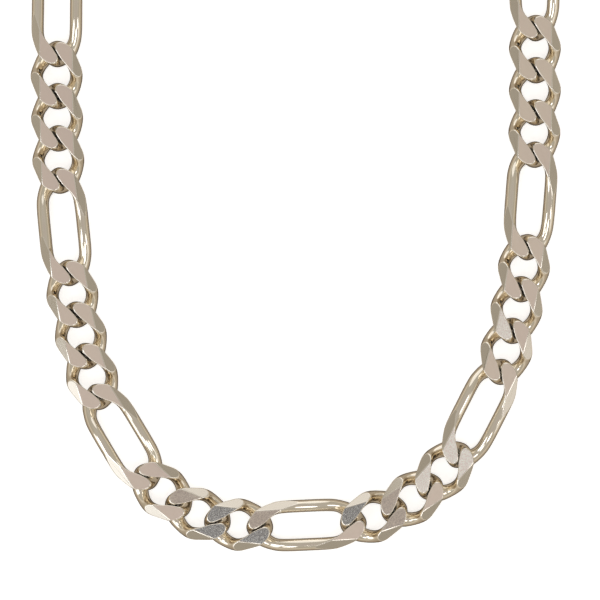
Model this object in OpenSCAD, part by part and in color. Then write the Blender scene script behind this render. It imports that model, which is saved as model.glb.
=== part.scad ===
// Figaro chain necklace: three short links and one long link repeat round a
// closed loop that lies flat. Every link is round wire, curbed so that its
// neighbours pass, ground flat front and back, with two bevels on the front.
// X runs across the loop, Y from its front to its clasp, Z up from the surface.

/* [Chain] */
// Width of the chain over its short links
chain_width = 11; // [8:0.1:14]
// Width over a long link
long_width = 10.7; // [7.5:0.1:13.5]
// Outside length of a short link
short_length = 14.6; // [11:0.1:19]
// Outside length of a long link
long_length = 25.3; // [18:0.1:34]
// Short links between two long ones
short_run = 3; // [1:1:5]
// Repeats of the pattern on each side of the middle long link
repeats_each_side = 5; // [3:1:7]

/* [Wire] */
// Wire diameter at the side of a short link
short_side_wire = 2.62; // [1.5:0.01:3.2]
// Wire diameter at the side of a long link
long_side_wire = 2.6; // [1.5:0.01:3.2]
// Wire diameter on the limbs that cross, where pressing has spread it
limb_wire = 3.25; // [1.8:0.01:3.6]
// Wire diameter at the two ends of a link
end_wire = 2.62; // [1.6:0.01:3.4]
// Play between a link's end and the end of the next one
play = 0.39; // [0.2:0.01:1]

/* [Curb] */
// Turn of a short link's ends out of the chain's plane, degrees
short_turn = 51.5; // [35:0.5:60]
// Turn of a long link's ends out of the chain's plane, degrees
long_turn = 60; // [40:1:68]
// How early a short link turns: 1 is even, below 1 is near its middle
short_turn_power = 0.8; // [0.4:0.05:2]
// How late a long link turns: above 1 is near its ends
long_turn_power = 2.2; // [1:0.05:4]

/* [Grinding] */
// Height of the flat front face over the chain's middle plane
face_height = 1.93; // [1.4:0.01:3]
// Depth of the flat back face under the chain's middle plane
back_depth = 2.1; // [1.4:0.01:3]
// Width of the flat front face across the chain
face_width = 6.9; // [4:0.01:10]
// Slope of the two bevels beside the front face, degrees
bevel_slope = 31; // [10:1:45]

/* [Clasp] */
// Outside length of the clasp, over its two eyes
clasp_length = 28; // [27:0.5:44]
// Wire diameter of the clasp's two eyes
clasp_wire = 1.9; // [1.4:0.1:3]
// Length of the clasp's closed body
clasp_body_length = 14; // [9:0.5:20]
// Width of the clasp's closed body
clasp_body_width = 10; // [8:0.1:14]
// Thickness of the clasp's closed body
clasp_body_thickness = 3.9; // [2.5:0.1:6]
// Corner radius of the clasp's closed body
clasp_corner = 2.5; // [0.5:0.1:4]

/* [Hidden] */
// The route of the chain's middle, as it lies in front: X, Y from the middle
// of the front long link, left strand first. Both ends point straight back.
route = [
    [-50.5, 118], [-50.6, 93.25], [-49.75, 69.75], [-47, 48], [-41.5, 27],
    [-32.5, 11.5], [-19.5, 1.75], [-0.5, -0.25], [17.25, 2], [30.25, 10.25],
    [40.5, 26], [46.5, 45.25], [49.75, 68.25], [50.6, 92.75], [50.5, 118]
];
// Where on the route the front long link has its middle
front_link_x = 2.3;

link_count = 1 + 2 * repeats_each_side * (short_run + 1);
front_link = (link_count - 1) / 2;
short_pitch = short_length - 2 * end_wire - play;
long_pitch = long_length - 2 * end_wire - play;
clasp_pitch = clasp_length - 2 * clasp_wire - play;
short_wires = [short_side_wire, limb_wire, end_wire];
long_wires = [long_side_wire, limb_wire, end_wire];
clasp_wires = [clasp_wire, clasp_wire, clasp_wire];
oval_power = 2.05;
limb_peak_power = 1.8;
wire_sides = 6;
short_steps = 16;
long_steps = 12;
spline_steps = 14;
arc_steps = 24;
silver = [0.79, 0.75, 0.70];

function link_name(n) = str("link_", n < 9 ? "0" : "", n + 1);

function last(list) = list[len(list) - 1];
function is_long(n) = abs(n - front_link) % (short_run + 1) == 0;
function pitch(n) = is_long(n) ? long_pitch : short_pitch;
function added(values) =
    [for (i = 0, sum = 0; i <= len(values); sum = sum + (i < len(values) ? values[i] : 0), i = i + 1) sum];

// A smooth curve through the route's points.
function spline_point(a, b, c, d, t) =
    0.5 * (2 * b + (c - a) * t + (2 * a - 5 * b + 4 * c - d) * t * t + (3 * b - a - 3 * c + d) * t * t * t);
function spline(points) = [
    for (i = [0 : len(points) - 2], k = [0 : spline_steps - 1])
        spline_point(
            points[max(i - 1, 0)], points[i], points[i + 1], points[min(i + 2, len(points) - 1)],
            k / spline_steps
        ),
    last(points)
];

// The whole loop: the route, two straight strands of the length rise behind
// it, and a half circle that closes them at the clasp.
half_span = (last(route)[0] - route[0][0]) / 2;
function half_circle(from, to, rise) = [
    for (k = [0 : arc_steps])
        let (a = from + (to - from) * k / arc_steps)
            [half_span * cos(a), last(route)[1] + rise + half_span * sin(a)]
];
function loop(rise) = concat(half_circle(90, 180, rise), spline(route), half_circle(0, 90, rise));
function reach(path) = added([for (i = [0 : len(path) - 2]) norm(path[i + 1] - path[i])]);

// A path's table holds its X and its Y against the length along it.
function table(path) =
    let (along = reach(path))
        [
            [for (i = [0 : len(path) - 1]) [along[i], path[i][0]]],
            [for (i = [0 : len(path) - 1]) [along[i], path[i][1]]],
            last(along)
        ];
function at(t, s) = [lookup(s, t[0]), lookup(s, t[1])];

// The length along the path whose point lies the straight distance span away.
function step(t, s, span, tries = 3) =
    tries == 0
        ? s + span
        : let (r = step(t, s, span, tries - 1)) s + (r - s) * abs(span) / norm(at(t, r) - at(t, s));

// The points where neighbours hook together, walked both ways from the front.
function front_reach(path, t) =
    lookup(front_link_x, [
        for (i = [0 : len(path) - 1])
            if (path[i][1] < route[4][1] && abs(path[i][0]) < half_span / 2) [path[i][0], t[0][i][0]]
    ]);
function strand(t, s, side) = [
    for (k = 0, r = step(t, s, side * long_pitch / 2);
        k <= front_link;
        k = k + 1, r = step(t, r, side * pitch(front_link + k)))
        r
];
function hooks(rise) =
    let (
        path = loop(rise),
        t = table(path),
        s = front_reach(path, t),
        left = strand(t, s, -1),
        right = strand(t, s, 1)
    )
        concat([for (k = [len(left) - 1 : -1 : 0]) at(t, left[k])], [for (r = right) at(t, r)]);

// The strands rise as far as the chain's length asks, so that the clasp closes it.
function clasp_gap(points) = norm(last(points) - points[0]);
chain_length = long_pitch * (1 + 2 * repeats_each_side) + short_pitch * 2 * repeats_each_side * short_run
    + clasp_pitch;
first_rise = (chain_length - last(reach(spline(route))) - PI * half_span) / 2;
second_rise = first_rise + (clasp_pitch - clasp_gap(hooks(first_rise))) / 2;
rise = second_rise + (clasp_pitch - clasp_gap(hooks(second_rise))) / 2;
hook = hooks(rise);

// The origin is halfway between the front long link and the clasp, on the surface.
clasp_y = (hook[0][1] + last(hook)[1]) / 2;
front_y = (hook[front_link][1] + hook[front_link + 1][1]) / 2;
middle_y = (clasp_y + front_y) / 2;

// A wire's path: an oval with its straight sides of the length 2 * straight,
// turned about the link's length. One station for each angle t.
function signed_power(v, p) = sign(v) * pow(abs(v), p);
function stations(steps, straight) =
    straight == 0
        ? [for (k = [0 : steps - 1]) [360 * k / steps, 0]]
        : concat(
            [[0, 0]],
            [for (k = [0 : steps / 2]) [360 * k / steps, 1]],
            [[180, 0]],
            [for (k = [steps / 2 : steps]) [360 * k / steps, -1]]
        );
function wire_radius(u, wires) =
    (wires[0] + (wires[2] - wires[0]) * pow(u, 4)
        + (wires[1] - wires[0]) * pow(sin(180 * pow(u, limb_peak_power)), 2)) / 2;
function wire_point(station, half_width, half_curve, straight, turn, turn_power) =
    let (
        x = half_width * signed_power(cos(station[0]), 2 / oval_power),
        y = half_curve * signed_power(sin(station[0]), 2 / oval_power) + straight * station[1],
        a = turn * signed_power(y / (half_curve + straight), turn_power)
    )
        [x * cos(a), y, x * sin(a)];
function unit(v) = v / norm(v);

// The ring of the wire at one station: flat above and below, where the next
// link's wire passes, and the wire's full width across.
function ring(before, here, after, radius) =
    let (
        along = unit(after - before),
        up = unit([0, 0, 1] - along[2] * along),
        across = cross(along, up)
    )
        [
            for (k = [0 : wire_sides - 1])
                let (a = 360 * k / wire_sides)
                    here + radius * (cos(a) * across + sin(a) * up)
        ];

// Closed wire; wires holds its diameter at the side, on the limb and at the end.
module wire(length, width, wires, turn, turn_power, steps) {
    straight = (length - short_length) / 2;
    half_curve = (short_length - wires[2]) / 2;
    half_width = (width - wires[0]) / 2;
    spots = stations(steps, straight);
    count = len(spots);
    middle = [
        for (s = spots) wire_point(s, half_width, half_curve, straight, turn, turn_power)
    ];
    points = [
        for (i = [0 : count - 1])
            let (
                u = abs(signed_power(sin(spots[i][0]), 2 / oval_power)),
                before = middle[(i + count - 1) % count],
                after = middle[(i + 1) % count]
            )
                each ring(before, middle[i], after, wire_radius(u, wires))
    ];
    faces = [
        for (i = [0 : count - 1], k = [0 : wire_sides - 1])
            let (
                a = i * wire_sides + k,
                b = i * wire_sides + (k + 1) % wire_sides,
                c = (i + 1) % count * wire_sides + (k + 1) % wire_sides,
                d = (i + 1) % count * wire_sides + k
            )
                each [[a, b, c], [a, c, d]]
    ];
    polyhedron(points, faces);
}

// What grinding leaves: flat front and back, and a bevel down each side.
module ground(length) {
    edge = chain_width;
    drop = (edge - face_width / 2) * tan(bevel_slope);
    rotate([90, 0, 0])
        linear_extrude(length + 2 * play, center = true)
            polygon([
                [-edge, -back_depth],
                [edge, -back_depth],
                [edge, max(face_height - drop, -back_depth + play)],
                [face_width / 2, face_height],
                [-face_width / 2, face_height],
                [-edge, max(face_height - drop, -back_depth + play)]
            ]);
}

module short_link() {
    intersection() {
        wire(short_length, chain_width, short_wires, short_turn, short_turn_power, short_steps);
        ground(short_length);
    }
}

module long_link() {
    intersection() {
        wire(long_length, long_width, long_wires, long_turn, long_turn_power, long_steps);
        ground(long_length);
    }
}

module clasp_body() {
    inner_width = clasp_body_width - 2 * clasp_corner;
    inner_length = clasp_body_length - 2 * clasp_corner;
    translate([0, 0, clasp_body_thickness / 2 - back_depth])
        union() {
            cube([clasp_body_width, inner_length, clasp_body_thickness], center = true);
            cube([inner_width, clasp_body_length, clasp_body_thickness], center = true);
            for (x = [-1, 1], y = [-1, 1])
                translate([x * inner_width / 2, y * inner_length / 2, 0])
                    cylinder(h = clasp_body_thickness, r = clasp_corner, center = true);
        }
}

// An eye at each end, and a plain closed body between them.
module closed_clasp(length) {
    union() {
        intersection() {
            wire(length, long_width, clasp_wires, long_turn, long_turn_power, long_steps);
            ground(length);
        }
        clasp_body();
    }
}

// Lays a piece between two hooks, its length along them.
module between(a, b) {
    middle = (a + b) / 2;
    translate([middle[0], middle[1] - middle_y, back_depth])
        rotate([0, 0, atan2(b[1] - a[1], b[0] - a[0]) - 90])
            children();
}

module link(n) {
    color(silver)
        between(hook[n], hook[n + 1])
            if (is_long(n)) long_link();
            else short_link();
}

module clasp() {
    color(silver)
        between(last(hook), hook[0])
            closed_clasp(clasp_gap(hook) + 2 * clasp_wire + play);
}

for (n = [0 : link_count - 1]) link(n);
clasp();
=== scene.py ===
import math

import bmesh
import bpy
from mathutils import Matrix, Vector


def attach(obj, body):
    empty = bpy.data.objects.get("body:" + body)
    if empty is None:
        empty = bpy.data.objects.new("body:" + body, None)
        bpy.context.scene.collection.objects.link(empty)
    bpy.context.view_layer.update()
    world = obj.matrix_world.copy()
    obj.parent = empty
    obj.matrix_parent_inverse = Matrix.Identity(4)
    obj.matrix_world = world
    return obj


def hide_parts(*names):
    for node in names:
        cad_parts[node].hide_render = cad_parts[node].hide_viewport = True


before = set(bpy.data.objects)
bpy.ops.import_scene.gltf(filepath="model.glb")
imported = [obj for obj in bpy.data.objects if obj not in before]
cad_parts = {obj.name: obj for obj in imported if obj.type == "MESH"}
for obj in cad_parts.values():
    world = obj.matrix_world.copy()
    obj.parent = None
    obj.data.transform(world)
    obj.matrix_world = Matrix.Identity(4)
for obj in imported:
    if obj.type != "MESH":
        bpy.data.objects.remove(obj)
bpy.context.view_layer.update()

MM = 0.001

# The chain's sizes, as its solids have them.
CHAIN_WIDTH = 11.0
LONG_WIDTH = 10.7
SHORT_LENGTH = 14.6
LONG_LENGTH = 25.3
SHORT_RUN = 3
REPEATS_EACH_SIDE = 5
PLAY = 0.39
END_WIRE = 2.62
LIMB_WIRE = 3.25
SHORT_WIRES = (2.62, LIMB_WIRE, END_WIRE)
LONG_WIRES = (2.6, LIMB_WIRE, END_WIRE)
SHORT_TURN = (51.5, 0.8)
LONG_TURN = (60.0, 2.2)
FACE_HEIGHT = 1.93
FACE_WIDTH = 6.9
BACK_DEPTH = 2.1
BEVEL_SLOPE = 31.0
CLASP_LENGTH = 28.0
CLASP_WIRE = 1.9
CLASP_WIRES = (CLASP_WIRE, CLASP_WIRE, CLASP_WIRE)
CLASP_BODY = (10.0, 14.0, 3.9)
CLASP_CORNER = 2.5
CLASP_EDGE = 0.5
OVAL_POWER = 2.05
LIMB_PEAK_POWER = 1.8

# How finely the wire is drawn.
WIRE_SIDES = 32
CURVE_STEPS = 72
STRAIGHT_STEPS = 12

# The route of the chain's middle in front, left strand first, as its solids have it.
ROUTE = [
    Vector(point) for point in (
        (-50.5, 118), (-50.6, 93.25), (-49.75, 69.75), (-47, 48), (-41.5, 27),
        (-32.5, 11.5), (-19.5, 1.75), (-0.5, -0.25), (17.25, 2), (30.25, 10.25),
        (40.5, 26), (46.5, 45.25), (49.75, 68.25), (50.6, 92.75), (50.5, 118),
    )
]
FRONT_LINK_X = 2.3
SPLINE_STEPS = 14
ARC_STEPS = 24

LINK_COUNT = 1 + 2 * REPEATS_EACH_SIDE * (SHORT_RUN + 1)
FRONT_LINK = (LINK_COUNT - 1) // 2
HALF_SPAN = (ROUTE[-1].x - ROUTE[0].x) / 2


# The route

def is_long(number):
    return abs(number - FRONT_LINK) % (SHORT_RUN + 1) == 0


def pitch(length, end_wire=END_WIRE):
    """The distance between the two hooks of a piece."""
    return length - 2 * end_wire - PLAY


def link_pitch(number):
    return pitch(LONG_LENGTH if is_long(number) else SHORT_LENGTH)


def smooth_route():
    """A smooth curve through the route's points."""
    line = []
    for i in range(len(ROUTE) - 1):
        a, b = ROUTE[max(i - 1, 0)], ROUTE[i]
        c, d = ROUTE[i + 1], ROUTE[min(i + 2, len(ROUTE) - 1)]
        for k in range(SPLINE_STEPS):
            t = k / SPLINE_STEPS
            line.append(
                0.5 * (2 * b + (c - a) * t + (2 * a - 5 * b + 4 * c - d) * t ** 2
                       + (3 * b - a - 3 * c + d) * t ** 3)
            )
    return line + [ROUTE[-1]]


def half_circle(start, end, rise):
    turns = [math.radians(start + (end - start) * k / ARC_STEPS) for k in range(ARC_STEPS + 1)]
    return [
        Vector((HALF_SPAN * math.cos(a), ROUTE[-1].y + rise + HALF_SPAN * math.sin(a)))
        for a in turns
    ]


def reach(path):
    """The length along the path up to each of its points."""
    along = [0.0]
    for a, b in zip(path, path[1:]):
        along.append(along[-1] + (b - a).length)
    return along


def at(path, along, s):
    """The point of the path that lies the length s along it."""
    for i in range(len(path) - 1):
        if s <= along[i + 1] or i == len(path) - 2:
            t = min(1, max(0, (s - along[i]) / (along[i + 1] - along[i])))
            return path[i].lerp(path[i + 1], t)


def step(path, along, s, span):
    """The length whose point lies the straight distance span from the one at s."""
    r = s + span
    for _ in range(3):
        r = s + (r - s) * abs(span) / (at(path, along, r) - at(path, along, s)).length
    return r


def front_reach(path, along):
    """Where along the path the front long link has its middle."""
    for i in range(len(path) - 1):
        low = path[i].y < ROUTE[4].y and path[i + 1].y < ROUTE[4].y
        if low and path[i].x <= FRONT_LINK_X <= path[i + 1].x:
            t = (FRONT_LINK_X - path[i].x) / (path[i + 1].x - path[i].x)
            return along[i] + t * (along[i + 1] - along[i])


def hooks(rise):
    """The points where neighbours hook together, from the clasp round to the clasp."""
    path = half_circle(90, 180, rise) + smooth_route() + half_circle(0, 90, rise)
    along = reach(path)
    strands = []
    for side in (-1, 1):
        s = step(path, along, front_reach(path, along), side * pitch(LONG_LENGTH) / 2)
        strand = [s]
        for k in range(1, FRONT_LINK + 1):
            s = step(path, along, s, side * link_pitch(FRONT_LINK + k))
            strand.append(s)
        strands.append(strand)
    return [at(path, along, s) for s in strands[0][::-1] + strands[1]]


def close_loop():
    """Raises the strands until the clasp closes the loop."""
    clasp_pitch = pitch(CLASP_LENGTH, CLASP_WIRE)
    chain = sum(link_pitch(n) for n in range(LINK_COUNT)) + clasp_pitch
    rise = (chain - reach(smooth_route())[-1] - math.pi * HALF_SPAN) / 2
    for _ in range(2):
        points = hooks(rise)
        rise += (clasp_pitch - (points[-1] - points[0]).length) / 2
    return hooks(rise)


HOOKS = close_loop()
MIDDLE_Y = (
    (HOOKS[0] + HOOKS[-1]).y + (HOOKS[FRONT_LINK] + HOOKS[FRONT_LINK + 1]).y
) / 4


def between(a, b):
    """Lays a piece, made along Y about its middle in millimetres, between two hooks."""
    middle = (a + b) / 2
    turn = math.atan2(b.y - a.y, b.x - a.x) - math.pi / 2
    return (
        Matrix.Scale(MM, 4)
        @ Matrix.Translation((middle.x, middle.y - MIDDLE_Y, BACK_DEPTH))
        @ Matrix.Rotation(turn, 4, "Z")
    )


# The wire

def signed_power(value, power):
    return math.copysign(abs(value) ** power, value)


def stations(straight):
    """Angle round the oval and place along its straight sides, for each ring of wire."""
    half = CURVE_STEPS // 2
    if straight == 0:
        return [(2 * math.pi * k / CURVE_STEPS, 0) for k in range(CURVE_STEPS)]
    top = [(math.pi * k / half, 1) for k in range(half + 1)]
    down = [(math.pi, 1 - 2 * k / STRAIGHT_STEPS) for k in range(1, STRAIGHT_STEPS)]
    bottom = [(math.pi * (1 + k / half), -1) for k in range(half + 1)]
    up = [(0, -1 + 2 * k / STRAIGHT_STEPS) for k in range(1, STRAIGHT_STEPS)]
    return top + down + bottom + up


def wire_radius(angle, wires):
    side, limb, end = wires
    u = abs(math.sin(angle)) ** (2 / OVAL_POWER)
    return (
        side + (end - side) * u ** 4
        + (limb - side) * math.sin(math.pi * u ** LIMB_PEAK_POWER) ** 2
    ) / 2


def wire_point(angle, along, size, turn):
    half_width, half_curve, straight = size
    x = half_width * signed_power(math.cos(angle), 2 / OVAL_POWER)
    y = half_curve * signed_power(math.sin(angle), 2 / OVAL_POWER) + straight * along
    a = math.radians(turn[0]) * signed_power(y / (half_curve + straight), turn[1])
    return Vector((x * math.cos(a), y, x * math.sin(a)))


def curbed_wire(length, width, wires, turn):
    """A closed link of round wire, curbed, before it is ground."""
    straight = (length - SHORT_LENGTH) / 2
    size = ((width - wires[0]) / 2, (SHORT_LENGTH - wires[2]) / 2, straight)
    spots = stations(straight)
    middle = [wire_point(angle, along, size, turn) for angle, along in spots]
    wire = bmesh.new()
    rings = []
    for i, (angle, _) in enumerate(spots):
        forward = (middle[(i + 1) % len(middle)] - middle[i - 1]).normalized()
        up = (Vector((0, 0, 1)) - forward.z * forward).normalized()
        across = forward.cross(up)
        place = Matrix((across, up, forward)).transposed().to_4x4()
        place.translation = middle[i]
        made = bmesh.ops.create_circle(
            wire, segments=WIRE_SIDES, radius=wire_radius(angle, wires), matrix=place
        )
        rings.append({e for v in made["verts"] for e in v.link_edges})
    for ring, following in zip(rings, rings[1:] + rings[:1]):
        bmesh.ops.bridge_loops(wire, edges=list(ring | following))
    bmesh.ops.recalc_face_normals(wire, faces=wire.faces)
    return wire


# Grinding and cutting

# The finishes, in the order of a piece's materials.
WIRE, FACE, BEVEL, RIM, MATT_AND_SHADE, DULL_AND_SHADE, SATIN_AND_SHEEN = range(7)
# Corners nearer to a cut than this are moved onto it.
SNAP = 0.05
# The cuts' edges are eased by this width where they turn by more than the angle in degrees.
RIM_WIDTH = 0.13
RIM_ANGLE = 8.0
# Front flats that other wheels have finished, whose base colours are also darkened as painted
# shade or lightened as painted sheen: the link, counted from 0 at the clasp, and its half,
# with -1 for the half towards the link before it.
OTHER_FLATS = {
    (18, -1): DULL_AND_SHADE, (18, 1): MATT_AND_SHADE, (19, -1): MATT_AND_SHADE, (19, 1): MATT_AND_SHADE, (20, -1): DULL_AND_SHADE,
    (21, -1): MATT_AND_SHADE, (21, 1): DULL_AND_SHADE, (22, -1): DULL_AND_SHADE,
    (23, -1): SATIN_AND_SHEEN, (23, 1): SATIN_AND_SHEEN, (24, -1): SATIN_AND_SHEEN, (26, -1): SATIN_AND_SHEEN,
}


def cut(piece, point, normal, slot):
    """Cuts off what lies beyond a plane, and closes the cut with a flat face."""
    parts = piece.verts[:] + piece.edges[:] + piece.faces[:]
    bmesh.ops.bisect_plane(
        piece, geom=parts, dist=SNAP, plane_co=point, plane_no=normal,
        use_snap_center=True, clear_outer=True
    )
    open_verts = {v for e in piece.edges if e.is_boundary for v in e.verts}
    bmesh.ops.remove_doubles(piece, verts=list(open_verts), dist=2 * SNAP)
    rims = [e for e in piece.edges if e.is_boundary]
    for face in bmesh.ops.holes_fill(piece, edges=rims, sides=0)["faces"]:
        face.material_index = slot
        face.smooth = False


def grind(piece, number=None, tilt=(0.0, 0.0)):
    """Leaves flats in front and behind and a bevel down each side, then eases the edges."""
    for face in piece.faces:
        face.smooth = True
    lean = (
        Matrix.Rotation(math.radians(tilt[0]), 3, "X")
        @ Matrix.Rotation(math.radians(tilt[1]), 3, "Y")
    )
    top = Vector((0, 0, FACE_HEIGHT))
    cut(piece, (0, 0, -BACK_DEPTH), (0, 0, -1), FACE)
    cut(piece, top, lean @ Vector((0, 0, 1)), FACE)
    slope = math.radians(BEVEL_SLOPE)
    for side in (-1, 1):
        normal = lean @ Vector((side * math.sin(slope), 0, math.cos(slope)))
        cut(piece, top + Vector((side * FACE_WIDTH / 2, 0, 0)), normal, BEVEL)
    edges = [
        e for e in piece.edges
        if any(not f.smooth for f in e.link_faces) and e.calc_face_angle(0) > math.radians(RIM_ANGLE)
    ]
    # Listed front flats take finishes whose base colours carry painted shade or painted sheen.
    for face in piece.faces:
        spot = face.calc_center_median()
        if face.material_index == FACE and spot.z > 0:
            face.material_index = OTHER_FLATS.get((number, math.copysign(1, spot.y)), FACE)
    rim = bmesh.ops.bevel(
        piece, geom=edges, offset=RIM_WIDTH, offset_type="OFFSET", segments=2, profile=0.5,
        affect="EDGES", material=-1, clamp_overlap=False
    )
    for face in rim["faces"]:
        face.material_index = RIM
        face.smooth = True


# Materials

# The span that holds most of a noise's values, and a narrower one for sharper speckles.
NOISE_SPAN = (0.3, 0.7)
SPECKLE_SPAN = (0.35, 0.65)
# How far off, in millimetres, a neighbour shuts the metal in, and the shares of open
# space at which the painted crevice shade is full and gone.
CREVICE_REACH = 0.9
FULL_SHADE, NO_SHADE = 0.37, 0.57


def linear(code):
    """The linear colour of an sRGB hex value."""
    parts = [int(code[i:i + 2], 16) / 255 for i in (1, 3, 5)]
    return [p / 12.92 if p <= 0.04045 else ((p + 0.055) / 1.055) ** 2.4 for p in parts] + [1]


def add(tree, kind, settings=None, links=None):
    """Adds a node with its settings, and links its inputs to other nodes' outputs."""
    node = tree.nodes.new(kind)
    for name, value in (settings or {}).items():
        if isinstance(name, int) or name in node.inputs:
            node.inputs[name].default_value = value
        else:
            setattr(node, name, value)
    for name, source in (links or {}).items():
        tree.links.new(source, node.inputs[name])
    return node


def new_material(name):
    material = bpy.data.materials.new(name)
    material.use_nodes = True
    material.node_tree.nodes.clear()
    return material, material.node_tree


def silver(name, colours, roughness, grain, wave, crevice_shade=None, speckled=False):
    """Sterling silver in two tones. The grain of its finish and a slow unevenness are given
    as a size and a depth in millimetres, and the crevice colour is a painted shade, mixed in
    by ambient occlusion where neighbours shut the metal in. The tones follow the grain where
    it is speckled, and the unevenness elsewhere."""
    material, tree = new_material(name)
    place = add(tree, "ShaderNodeTexCoord").outputs["Object"]
    fine = add(
        tree, "ShaderNodeTexNoise",
        {"Scale": 1 / (grain[0] * MM), "Detail": 3.0, "Roughness": 0.6}, {"Vector": place}
    )
    slow = add(
        tree, "ShaderNodeTexNoise",
        {"Scale": 1 / (wave[0] * MM), "Detail": 2.0, "Roughness": 0.5}, {"Vector": place}
    )
    share = slow.outputs["Fac"]
    if speckled:
        speckle = add(
            tree, "ShaderNodeMapRange", {"From Min": SPECKLE_SPAN[0], "From Max": SPECKLE_SPAN[1]},
            {"Value": fine.outputs["Fac"]}
        )
        share = speckle.outputs["Result"]
    tone = add(tree, "ShaderNodeMix", {"data_type": "RGBA"}, {"Factor": share})
    tone.inputs[6].default_value = linear(colours[0])
    tone.inputs[7].default_value = linear(colours[1])
    colour = tone.outputs[2]
    if crevice_shade:
        # Painted shade: a near-black colour is mixed in where ambient occlusion finds neighbours close.
        open_space = add(
            tree, "ShaderNodeAmbientOcclusion", {"Distance": CREVICE_REACH * MM, "samples": 12}
        )
        unshaded = add(
            tree, "ShaderNodeMapRange", {"From Min": FULL_SHADE, "From Max": NO_SHADE},
            {"Value": open_space.outputs["AO"]}
        )
        mixed = add(
            tree, "ShaderNodeMix", {"data_type": "RGBA"}, {"Factor": unshaded.outputs["Result"]}
        )
        mixed.inputs[6].default_value = linear(crevice_shade)
        tree.links.new(colour, mixed.inputs[7])
        colour = mixed.outputs[2]
    gloss = add(
        tree, "ShaderNodeMapRange",
        {
            "From Min": NOISE_SPAN[0], "From Max": NOISE_SPAN[1],
            "To Min": roughness[0], "To Max": roughness[1],
        },
        {"Value": slow.outputs["Fac"]}
    )
    uneven = add(
        tree, "ShaderNodeBump", {"Strength": 1.0, "Distance": wave[1] * MM},
        {"Height": slow.outputs["Fac"]}
    )
    grainy = add(
        tree, "ShaderNodeBump", {"Strength": 1.0, "Distance": grain[1] * MM},
        {"Height": fine.outputs["Fac"], "Normal": uneven.outputs["Normal"]}
    )
    shader = add(
        tree, "ShaderNodeBsdfPrincipled", {"Metallic": 1.0},
        {"Base Color": colour, "Roughness": gloss.outputs["Result"], "Normal": grainy.outputs["Normal"]}
    )
    if crevice_shade:
        # The painted crevice shade is given as no metal, so it stays dark.
        tree.links.new(unshaded.outputs["Result"], shader.inputs["Metallic"])
    add(tree, "ShaderNodeOutputMaterial", None, {"Surface": shader.outputs["BSDF"]})
    return material


# Drawn wire, tumbled bright: it mirrors the studio in long streaks, and its crevices are darkened with
# painted shade.
wire_silver = silver(
    "silver_tumbled_wire", ("#F4E9D6", "#F8F0DF"), (0.07, 0.12), (0.35, 0.0008), (2.6, 0.006), "#1C140C"
)
# Ground on a fine wheel: flat, with a soft sheen.
face_silver = silver(
    "silver_ground_face", ("#EEDAD1", "#ECE0CB"), (0.42, 0.5), (0.22, 0.012), (32.0, 0.05)
)
# Cut with a diamond tool: flat and bright.
bevel_silver = silver(
    "silver_cut_bevel", ("#DED5C6", "#E4DBCC"), (0.14, 0.18), (0.22, 0.002), (9.0, 0.008)
)
# The eased edges of the cuts, burnished by the tumbling.
rim_silver = silver(
    "silver_burnished_edge", ("#F8F0E2", "#F8F0E2"), (0.16, 0.22), (0.3, 0.001), (1.3, 0.008)
)
# Ground on a coarse wheel: its grain scatters the light; its dark base colour is painted shade and its
# light speckles are painted sparkles.
matt_and_shade_silver = silver(
    "silver_coarse_ground_painted_shade_face", ("#8E8D8D", "#D2D1CC"), (0.2, 0.28), (0.22, 0.06), (1.6, 0.01),
    speckled=True
)
# Ground on a worn wheel: between the fine flats and the coarse ones, with a base colour darkened as
# painted shade.
dull_and_shade_silver = silver(
    "silver_dull_ground_painted_shade_face", ("#C4B7AC", "#E8DCCD"), (0.3, 0.38), (0.22, 0.02), (1.6, 0.01),
    speckled=True
)
# Brushed on a soft wheel, with a light grain; its broad bright sheen is painted into a near-white base
# colour.
satin_and_sheen_silver = silver(
    "silver_satin_painted_sheen_face", ("#F0E0D8", "#FFFFF6"), (0.42, 0.5), (0.24, 0.16), (1.6, 0.01),
    speckled=True
)
SILVERS = (
    wire_silver, face_silver, bevel_silver, rim_silver, matt_and_shade_silver, dull_and_shade_silver, satin_and_sheen_silver
)


# The pieces

def finish_piece(name, node, piece, place):
    """Puts a made piece in its place, in metres, as an object that stands for its solid."""
    bmesh.ops.transform(piece, matrix=place, verts=piece.verts)
    mesh = bpy.data.meshes.new(name)
    piece.to_mesh(mesh)
    piece.free()
    for material in SILVERS:
        mesh.materials.append(material)
    made = bpy.data.objects.new(name, mesh)
    bpy.context.scene.collection.objects.link(made)
    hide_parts(node)
    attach(made, "root")
    return made


def tilt_of(number):
    """A link lies a little off level, which changes what its flats mirror."""
    return (0.4 * math.sin(2.4 * number), 0.5 * math.sin(1.7 * number + 1))


short_wire = curbed_wire(SHORT_LENGTH, CHAIN_WIDTH, SHORT_WIRES, SHORT_TURN)
long_wire = curbed_wire(LONG_LENGTH, LONG_WIDTH, LONG_WIRES, LONG_TURN)
for number in range(LINK_COUNT):
    link = (long_wire if is_long(number) else short_wire).copy()
    grind(link, number, tilt_of(number))
    name = f"link_{number + 1:02d}"
    finish_piece("silver_" + name, name, link, between(HOOKS[number], HOOKS[number + 1]))
short_wire.free()
long_wire.free()


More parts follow.
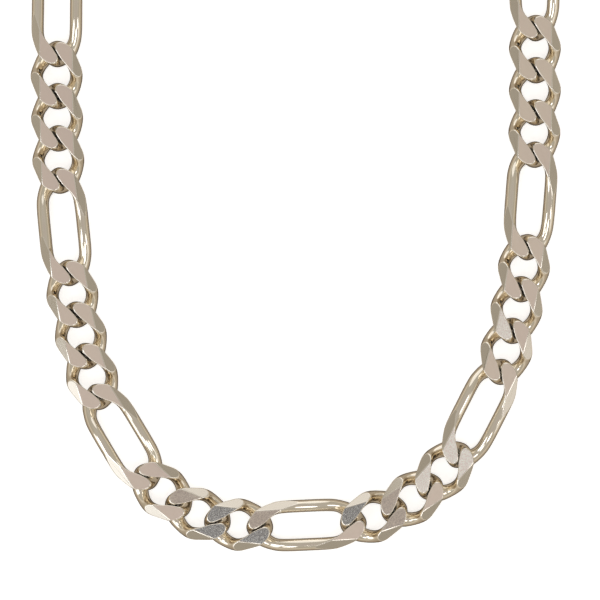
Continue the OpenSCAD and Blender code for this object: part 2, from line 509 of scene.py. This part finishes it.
def clasp_body():
    """The closed body: a slab with round corners and eased edges."""
    body = bmesh.new()
    lift = Matrix.Translation((0, 0, CLASP_BODY[2] / 2 - BACK_DEPTH))
    bmesh.ops.create_cube(body, size=1, matrix=lift @ Matrix.Diagonal((*CLASP_BODY, 1)))
    upright = [e for e in body.edges if abs((e.verts[0].co - e.verts[1].co).normalized().z) > 0.9]
    bmesh.ops.bevel(
        body, geom=upright, offset=CLASP_CORNER, offset_type="OFFSET", segments=8,
        profile=0.5, affect="EDGES", material=-1
    )
    rims = [
        e for e in body.edges
        if abs(abs(e.verts[0].co.z - lift.translation.z) - CLASP_BODY[2] / 2) < 0.01
        and abs(e.verts[0].co.z - e.verts[1].co.z) < 0.01
    ]
    bmesh.ops.bevel(
        body, geom=rims, offset=CLASP_EDGE, offset_type="OFFSET", segments=4, profile=0.5,
        affect="EDGES", material=-1
    )
    for face in body.faces:
        face.smooth = True
    return body


closed_length = (HOOKS[-1] - HOOKS[0]).length + 2 * CLASP_WIRE + PLAY
clasp = curbed_wire(closed_length, LONG_WIDTH, CLASP_WIRES, LONG_TURN)
grind(clasp)
body = clasp_body()
body_mesh = bpy.data.meshes.new("clasp_body")
body.to_mesh(body_mesh)
body.free()
clasp.from_mesh(body_mesh)
bpy.data.meshes.remove(body_mesh)
finish_piece("silver_clasp", "clasp", clasp, between(HOOKS[-1], HOOKS[0]))


# The studio

# Where the photograph's middle lies on the chain, the width that it shows, and how
# steeply it looks down, in degrees.
VIEW_MIDDLE = Vector((0.9, 47.6 - MIDDLE_Y, 2.0)) * MM
VIEW_WIDTH = 126.45 * MM
ELEVATION = 86.5
LENS = 200
SENSOR = 36

# The light tent from overhead down to the table and on below it: degrees from
# overhead, colour and radiance.
TENT = (
    (0, "#FFF8F4", 0.46), (12, "#FFF8F4", 0.47), (30, "#FFFBF4", 0.48), (50, "#FFF8EC", 0.45),
    (66, "#FFF8EA", 0.44), (76, "#FFF6E8", 0.68), (86, "#FFF4E4", 0.58), (96, "#FFF0DC", 0.42),
    (112, "#FFF0DC", 0.4), (128, "#FFEBD2", 0.3), (142, "#FFE6C8", 0.1), (180, "#FFE6C8", 0.08),
)
TENT_PEAK = 1.5
# The soft boxes: degrees anticlockwise from +X, degrees above the table, half angle in
# degrees, radiance and colour.
SOFT_BOXES = {
    "back_box": (92, 28, 26, 0.6, "#F2F6FF"),
    "left_box": (211, 27, 18, 1.08, "#EAF2FF"),
    "left_high_box": (199, 50, 8, 2.4, "#EAF2FF"),
    "right_box": (336, 30, 13, 0.5, "#F6F8FF"),
    "right_high_box": (342, 52, 8, 1.9, "#F6F8FF"),
    "key_box": (240, 48, 10, 1.6, "#F2F6FF"),
    "front_box": (284, 62, 8, 2.6, "#F8FAFF"),
}
# In metres.
BOX_DISTANCE = 1.6
FLOOR_HALF_WIDTH = 1.5
# The table's own light, and how far off, in millimetres, the links dim it as a painted shadow.
FLOOR_GLOW = 0.62
FLOOR_DIM_REACH = 2.5
# The table lies this much under the chain, in millimetres.
FLOOR_DROP = 0.05


def opal_floor():
    """A pale light table, which leaves hardly a shadow, but for a painted shadow in the gaps under the
    links.
    """
    material, tree = new_material("opal_table")
    # Painted shadow: the table's glow fades where ambient occlusion finds the links close.
    open_space = add(
        tree, "ShaderNodeAmbientOcclusion", {"Distance": FLOOR_DIM_REACH * MM, "samples": 12}
    )
    glow = add(
        tree, "ShaderNodeMapRange", {"From Min": 0.15, "From Max": 0.4, "To Max": FLOOR_GLOW},
        {"Value": open_space.outputs["AO"]}
    )
    shader = add(
        tree, "ShaderNodeBsdfPrincipled",
        {"Base Color": linear("#F7F6F4"), "Roughness": 0.7, "Emission Color": linear("#FFFFFF")},
        {"Emission Strength": glow.outputs["Result"]}
    )
    add(tree, "ShaderNodeOutputMaterial", None, {"Surface": shader.outputs["BSDF"]})
    plane = bmesh.new()
    bmesh.ops.create_grid(plane, x_segments=1, y_segments=1, size=FLOOR_HALF_WIDTH)
    mesh = bpy.data.meshes.new("floor")
    plane.to_mesh(mesh)
    plane.free()
    mesh.materials.append(material)
    floor = bpy.data.objects.new("floor", mesh)
    floor.location.z = -FLOOR_DROP * MM
    bpy.context.scene.collection.objects.link(floor)
    # The metal mirrors the studio's soft grey and not the table under it.
    floor.visible_glossy = False


def soft_box(name, azimuth, elevation, half_angle, radiance, colour):
    """A round soft box that fills half_angle degrees about a direction, seen from the chain."""
    radius = BOX_DISTANCE * math.tan(math.radians(half_angle))
    lamp = bpy.data.lights.new(name, "AREA")
    lamp.shape = "DISK"
    lamp.size = 2 * radius
    lamp.energy = radiance * math.pi * math.pi * radius ** 2
    lamp.color = linear(colour)[:3]
    a, e = math.radians(azimuth), math.radians(elevation)
    way = Vector((math.cos(a) * math.cos(e), math.sin(a) * math.cos(e), math.sin(e)))
    box = bpy.data.objects.new(name, lamp)
    box.location = way * BOX_DISTANCE
    box.rotation_euler = way.to_track_quat("Z", "Y").to_euler()
    bpy.context.scene.collection.objects.link(box)


def tent():
    """A light tent about the table, whose brightness falls from the top to the ground."""
    world = bpy.data.worlds.new("light_tent")
    bpy.context.scene.world = world
    world.use_nodes = True
    tree = world.node_tree
    tree.nodes.clear()
    way = add(tree, "ShaderNodeTexCoord").outputs["Generated"]
    height = add(tree, "ShaderNodeSeparateXYZ", None, {"Vector": way}).outputs["Z"]
    angle = add(tree, "ShaderNodeMath", {"operation": "ARCCOSINE"}, {0: height}).outputs[0]
    share = add(tree, "ShaderNodeMath", {"operation": "DIVIDE", 1: math.pi}, {0: angle}).outputs[0]
    ramp = add(tree, "ShaderNodeValToRGB", None, {"Fac": share})
    bands = ramp.color_ramp.elements
    for degrees, colour, radiance in TENT:
        if degrees in (0, 180):
            band = bands[0 if degrees == 0 else -1]
        else:
            band = bands.new(degrees / 180)
        band.color = [part * radiance / TENT_PEAK for part in linear(colour)[:3]] + [1]
    backing = add(
        tree, "ShaderNodeBackground", {"Strength": TENT_PEAK}, {"Color": ramp.outputs["Color"]}
    )
    add(tree, "ShaderNodeOutputWorld", None, {"Surface": backing.outputs["Background"]})


def studio():
    tent()
    for name, place_and_light in SOFT_BOXES.items():
        soft_box(name, *place_and_light)


def camera():
    lens = bpy.data.cameras.new("camera")
    lens.lens = LENS
    lens.sensor_width = SENSOR
    lens.clip_start = 0.01
    distance = VIEW_WIDTH * LENS / SENSOR
    tilt = math.radians(ELEVATION)
    way = Vector((0, -math.cos(tilt), math.sin(tilt)))
    eye = bpy.data.objects.new("camera", lens)
    eye.location = VIEW_MIDDLE + way * distance
    eye.rotation_euler = (math.pi / 2 - tilt, 0, 0)
    bpy.context.scene.collection.objects.link(eye)
    bpy.context.scene.camera = eye


opal_floor()
studio()
camera()
bpy.context.scene.view_settings.view_transform = "Standard"
